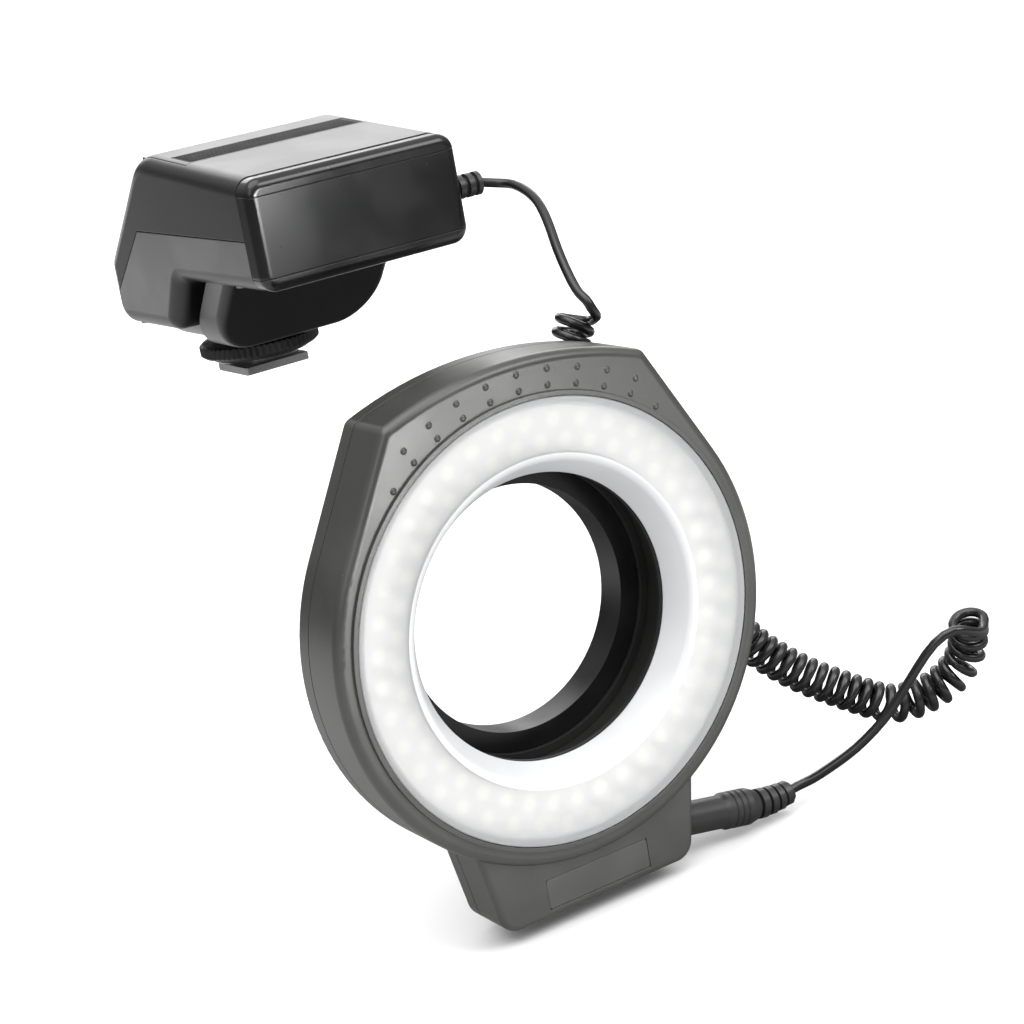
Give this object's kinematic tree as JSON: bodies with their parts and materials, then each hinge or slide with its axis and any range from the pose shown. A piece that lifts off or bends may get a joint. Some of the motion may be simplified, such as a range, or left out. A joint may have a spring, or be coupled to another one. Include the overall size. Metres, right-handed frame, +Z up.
{
  "type": "macro ring light",
  "caption": "Ring-shaped macro light with a frosted diffuser and grip-dotted cap, joined by a curly cord to a battery and control unit on a shoe foot.",
  "frame": {"origin": "centre of the shoe foot's underside", "axes": "-Y the way the light shines, +Z up from the shoe, +X to the right of someone facing the lit ring"},
  "size_m": [0.1763, 0.1678, 0.1818],
  "materials": {
    "shell_charcoal": "fine-grained satin",
    "case_black": "satin gloss",
    "window_dark": "mirror-smooth gloss",
    "grip_black": "ribbed matte",
    "diffuser_white": "frosted translucent",
    "tray_white": "satin white",
    "led_clear": "clear epoxy over a warm phosphor",
    "tube_black": "matte black",
    "board_green": "solder mask",
    "board_parts": "moulded packages and cans",
    "ring_metal": "black anodised",
    "steel": "plated",
    "spring_steel": "nickel plated",
    "foot_metal": "satin",
    "pin_gold": "gold plated",
    "cell_wrap": "plain dark wrapper",
    "button_grey": "satin",
    "button_orange": "satin",
    "lamp_red": "tinted clear",
    "cord_rubber": "smooth glossy jacket",
    "plug_rubber": "satin moulding",
    "badge_plain": "plain inlay"
  },
  "bodies": {
    "light_and_case": {"head_front_shell": "shell_charcoal", "head_rear_shell": "shell_charcoal", "diffuser_ring": "diffuser_white", "reflector_tray": "tray_white", "led_board": "board_green", "leds": "led_clear", "inner_tube": "tube_black", "retainer_ring": "ring_metal", "head_screws": "steel", "driver_board": "board_green", "driver_parts": "board_parts", "board_link": "board_parts", "dc_jack": "board_parts", "badge_plate": "badge_plain", "upper_shell": "case_black", "lower_shell": "case_black", "front_frame": "case_black", "front_window": "window_dark", "cell_bulkhead": "case_black", "cell_cradle": "case_black", "battery_cells": "cell_wrap", "flat_contacts": "spring_steel", "contact_springs": "spring_steel", "main_board": "board_green", "main_board_parts": "board_parts", "case_screws": "steel", "control_board": "board_green", "switch_body": "board_parts", "tact_switches": "board_parts", "pilot_lamp": "lamp_red", "shoe_foot": "foot_metal", "foot_nut": "steel", "cord_relief": "plug_rubber", "cord_curls": "cord_rubber", "upper_lead": "cord_rubber", "lower_lead": "cord_rubber", "plug": "plug_rubber", "plug_barrel": "spring_steel"},
    "adapter": {"adapter_ring": "ring_metal"},
    "door": {"battery_door": "case_black", "door_grip": "grip_black"},
    "slider": {"power_slider": "button_grey"},
    "mode_key": {"mode_button": "button_grey"},
    "test_key": {"test_button": "button_orange"},
    "clamp_plate": {"lock_plate": "steel"},
    "clamp_wheel": {"lock_wheel": "ring_metal"},
    "foot_contact": {"contact_pin": "pin_gold"}
  },
  "joints": [
    {"name": "adapter_turn", "type": "hinge", "parent": "light_and_case", "child": "adapter", "pos_m": [0, -0.1057, -0.049], "axis": [0, 1, 0], "continuous": true},
    {"name": "door_slide", "type": "slide", "parent": "light_and_case", "child": "door", "axis": [0, 0.9964, 0.0847], "range_m": [0, 0.024]},
    {"name": "switch_slide", "type": "slide", "parent": "light_and_case", "child": "slider", "axis": [1, 0, 0], "range_m": [-0.0025, 0.0025]},
    {"name": "mode_press", "type": "slide", "parent": "light_and_case", "child": "mode_key", "axis": [0, -0.673, -0.7396], "range_m": [0, 0.0008], "stiffness_N_per_m": 300},
    {"name": "test_press", "type": "slide", "parent": "light_and_case", "child": "test_key", "axis": [0, -0.673, -0.7396], "range_m": [0, 0.0008], "stiffness_N_per_m": 300},
    {"name": "clamp_slide", "type": "slide", "parent": "light_and_case", "child": "clamp_plate", "axis": [0, 0, 1], "range_m": [0, 0.001]},
    {"name": "clamp_turn", "type": "hinge", "parent": "clamp_plate", "child": "clamp_wheel", "pos_m": [0, 0, 0.0067], "axis": [0, 0, 1], "range_deg": [0, 360]},
    {"name": "contact_press", "type": "slide", "parent": "light_and_case", "child": "foot_contact", "axis": [0, 0, 1], "range_m": [0, 0.0005], "stiffness_N_per_m": 300}
  ],
  "couplings": [
    {"joint": "clamp_slide", "follows": "clamp_turn", "m_per_rad": 0.00015915}
  ]
}
